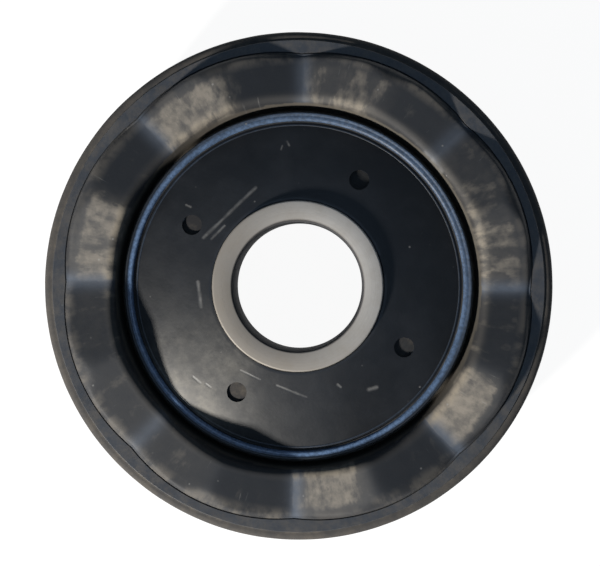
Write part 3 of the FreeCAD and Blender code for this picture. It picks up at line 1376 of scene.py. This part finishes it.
    def lobe_zones(self, radius: float, angle: float, lobed: bool) -> dict[str, float]:
        """Tell how the lobes' surface looks, with its painted sky reflection in the valleys and its painted
        highlight along the inner edge.

        Args:
            radius: Distance from the axis.
            angle: Direction round the axis, in radians.
            lobed: Whether the place is on the lobes at all.

        Returns:
            The shares of the lobes' zones, all 0 away from the lobes.
        """
        wear = self.wear(angle)
        aside = radius * abs(math.sin(self.turn_from_valley(angle)))
        inner = max(0.0, 1 - abs(radius - self.groove_outer - self.edge_place) / self.edge_spread)
        outer = held((radius - self.lobe_outer + self.crown_width * self.outer_start) / self.edge_spread)
        zones = {
            "lobes": 1.0,
            "wear": wear * (1 - self.outer_wear_loss * outer),
            "outer": outer * (1 - self.outer_rub_loss * wear),
            # Painted sky reflection along the valley bottoms, mostly on the flanks facing the key lamp
            "valley": math.exp(-((aside / self.valley_sheen) ** 2)) * min(1.0, self.valley_least + wear),
            # Painted highlight with dust along the lobes' inner edge
            "edge": inner,
            "matte": max(inner * self.matte_inner, outer * self.matte_outer, self.matte_least),
        }
        return {name: share * lobed for name, share in zones.items()}

    def dress(self, piece: Piece) -> None:
        """Give the body its finish and its place in the model.

        Args:
            piece: The body.
        """
        coat(piece, RubberFinish().build())
        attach(piece, "root")
        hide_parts("rubber_body")
        LOG.info("rubber body: %d faces", len(piece.data.polygons))


@dataclass
class Sleeve:
    """Plain steel tube with broken edges."""

    radius: float = field(default_factory=lambda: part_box("inner_sleeve")[1][0])
    length: float = field(default_factory=lambda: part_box("inner_sleeve")[1][2])
    wall: float = 0.004
    sides: int = 256
    edge_break: float = 0.00035
    edge_segments: int = 3
    edge_angle: float = 60.0
    smooth_angle: float = 40.0

    def build(self) -> Piece:
        """Model the tube from a cylinder.

        Returns:
            The tube, without its finish.
        """
        deselect()
        bpy.ops.mesh.primitive_cylinder_add(
            vertices=self.sides, radius=self.radius, depth=self.length, location=(0, 0, self.length / 2)
        )
        piece = bpy.context.active_object
        name_piece(piece, "steel_sleeve")
        bpy.ops.object.transform_apply(location=True, rotation=False, scale=False)
        self.open_bore(piece)
        modify(
            piece, "BEVEL", width=self.edge_break, segments=self.edge_segments,
            limit_method="ANGLE", angle_limit=math.radians(self.edge_angle),
        )
        smooth_by(piece, self.smooth_angle)
        return piece

    def open_bore(self, piece: Piece) -> None:
        """Inset both ends and bridge them into a bore.

        Args:
            piece: The solid cylinder.
        """
        only(piece)
        bpy.ops.object.mode_set(mode="EDIT")
        bpy.ops.mesh.select_mode(type="FACE")
        level = 0.9
        form = bmesh.from_edit_mesh(piece.data)
        for face in form.faces:
            face.select_set(abs(face.normal.z) > level)
        bmesh.update_edit_mesh(piece.data)
        bpy.ops.mesh.inset(thickness=self.wall, depth=0.0)
        bpy.ops.mesh.bridge_edge_loops()
        face_outwards()
        bpy.ops.object.mode_set(mode="OBJECT")

    def dress(self, piece: Piece) -> None:
        """Give the tube its finish and its place in the model.

        Args:
            piece: The tube.
        """
        finish = SteelFinish(
            name="dull turned steel",
            bright=(0.420, 0.405, 0.385, 1.0),
            dull=(0.335, 0.320, 0.300, 1.0),
            stain=(0.225, 0.205, 0.180, 1.0),
            # Where the painted shade of the bore starts
            inside_radius=self.radius - self.wall,
            roughness=0.58,
            metallic=0.35,
            turning_depth=0.00003,
        )
        coat(piece, finish.build())
        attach(piece, "root")
        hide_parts("inner_sleeve")
        LOG.info("sleeve: %d faces", len(piece.data.polygons))


@dataclass
class Plate:
    """Pressed steel plate inside the rubber, seen at the bottom of the pits."""

    node: str = "insert_plate"

    def dress(self) -> None:
        """Give the plate's own mesh its finish."""
        finish = SteelFinish(
            name="primed plate steel",
            bright=(0.040, 0.041, 0.043, 1.0),
            dull=(0.018, 0.019, 0.021, 1.0),
            stain=(0.022, 0.022, 0.024, 1.0),
            specular=0.15,
            roughness=0.70,
            metallic=0.0,
            turning_depth=0.00002,
        )
        material = finish.build()
        for piece in bpy.data.objects:
            if piece.type == "MESH" and piece.name.startswith(self.node):
                for slot in piece.material_slots:
                    slot.material = material
                LOG.info("plate dressed: %s", piece.name)


@dataclass
class Studio:
    """Pale floor, soft key lamp low on the left, dim surroundings and the camera."""

    floor_size: float = 6.0
    floor_colour: Colour = (0.16, 0.16, 0.16, 1.0)
    floor_glow: float = 0.94
    sky: Colour = (0.55, 0.75, 1.0, 1.0)
    sky_strength: float = 0.15
    key_azimuth: float = 227.0
    key_elevation: float = 27.5
    key_distance: float = 0.9
    key_aim: Place = (0.0, 0.0, 0.02)
    key_size: float = 0.09
    key_power: float = 16.0
    key_colour: Place = (1.0, 0.96, 0.90)
    card_size: float = 0.45
    card_place: Place = (0.0, 0.0, 0.95)
    card_power: float = 0.8
    card_colour: Place = (0.50, 0.70, 1.0)
    camera_offset: Point = (0.0080, 0.0022)
    camera_distance: float = 0.400
    camera_aim_below: float = 0.006
    focal_pixels: float = 2020.0
    image: tuple[int, int] = (600, 566)
    axis_pixel: Point = (298.1, 286.1)
    sensor: float = 36.0
    nearest: float = 0.01

    def build(self) -> None:
        """Set up the floor, the surroundings, the lamps and the camera."""
        self.floor()
        self.surroundings()
        self.lamps()
        self.camera()
        bpy.context.scene.view_settings.view_transform = "Standard"

    def floor(self) -> None:
        """Lay a white floor that keeps a faint shadow of the object."""
        deselect()
        bpy.ops.mesh.primitive_plane_add(size=self.floor_size, location=ORIGIN)
        piece = bpy.context.active_object
        name_piece(piece, "floor")
        material = bpy.data.materials.new("pale floor")
        material.use_nodes = True
        graph = Graph(material.node_tree)
        graph.tree.nodes.clear()
        path = graph.node("ShaderNodeLightPath").outputs
        seen = graph.most(path["Is Camera Ray"], path["Is Glossy Ray"], path["Is Transmission Ray"])
        diffuse = graph.node("ShaderNodeBsdfDiffuse")
        diffuse.inputs["Color"].default_value = self.floor_colour
        glow = graph.node("ShaderNodeEmission")
        graph.feed(glow.inputs["Strength"], graph.times(seen, self.floor_glow))
        both = graph.node("ShaderNodeAddShader")
        graph.feed(both.inputs[0], diffuse.outputs[0])
        graph.feed(both.inputs[1], glow.outputs[0])
        graph.feed(graph.node("ShaderNodeOutputMaterial").inputs["Surface"], both.outputs[0])
        coat(piece, material)

    def surroundings(self) -> None:
        """Set dim even light all round, white where the camera sees it."""
        world = bpy.data.worlds.new("surroundings")
        bpy.context.scene.world = world
        world.use_nodes = True
        graph = Graph(world.node_tree)
        back = world.node_tree.nodes["Background"].inputs
        seen = graph.node("ShaderNodeLightPath").outputs["Is Camera Ray"]
        graph.feed(back["Color"], graph.layered(self.sky, (seen, WHITE)))
        graph.feed(back["Strength"], graph.most(seen, self.sky_strength))

    def lamp(self, name: str, size: float, power: float, colour: Place) -> Piece:
        """Add a square lamp.

        Args:
            name: Name of the lamp.
            size: Length of its sides.
            power: Its power in watts.
            colour: Its colour.

        Returns:
            The lamp's object, over the origin and facing down.
        """
        lamp = bpy.data.lights.new(name, "AREA")
        lamp.size = size
        lamp.energy = power
        lamp.color = colour
        return add_object(name, lamp)

    def lamps(self) -> None:
        """Add the key lamp and a patch of blue sky that only shows as a sheen on level faces."""
        around, up = math.radians(self.key_azimuth), math.radians(self.key_elevation)
        direction = Vector((math.cos(around) * math.cos(up), math.sin(around) * math.cos(up), math.sin(up)))
        key = self.lamp("key", self.key_size, self.key_power, self.key_colour)
        key.location = direction * self.key_distance + Vector(self.key_aim)
        key.rotation_euler = direction.to_track_quat("Z", "Y").to_euler()
        card = self.lamp("sky card", self.card_size, self.card_power, self.card_colour)
        card.location = self.card_place
        card.visible_diffuse = False

    def camera(self) -> None:
        """Place the camera above the bore, a little towards +X, as the photograph has it."""
        lens = bpy.data.cameras.new("camera")
        piece = add_object("camera", lens)
        lens.sensor_width = self.sensor
        lens.lens = self.focal_pixels * self.sensor / self.image[0]
        lens.clip_start = self.nearest
        piece.location = (*self.camera_offset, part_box("inner_sleeve")[1][2] + self.camera_distance)
        rim = Vector((0.0, 0.0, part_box("rubber_body")[1][2] - self.camera_aim_below))
        aside = (self.image[0] / 2 - self.axis_pixel[0]) / self.focal_pixels
        upward = (self.axis_pixel[1] - self.image[1] / 2) / self.focal_pixels
        reach = piece.location.z - rim.z
        target = rim + Vector((aside * reach, upward * reach, 0.0))
        back = (piece.location - target).normalized()
        right = Vector((0.0, 1.0, 0.0)).cross(back).normalized()
        upright = back.cross(right)
        piece.rotation_euler = Matrix((right, upright, back)).transposed().to_euler()
        bpy.context.scene.camera = piece


def main() -> None:
    """Build every sub-assembly in order."""
    logging.basicConfig(level=logging.INFO)
    body = RubberBody()
    body.dress(body.build())
    sleeve = Sleeve()
    sleeve.dress(sleeve.build())
    Plate().dress()
    Studio().build()


if __name__ == "__main__":
    main()
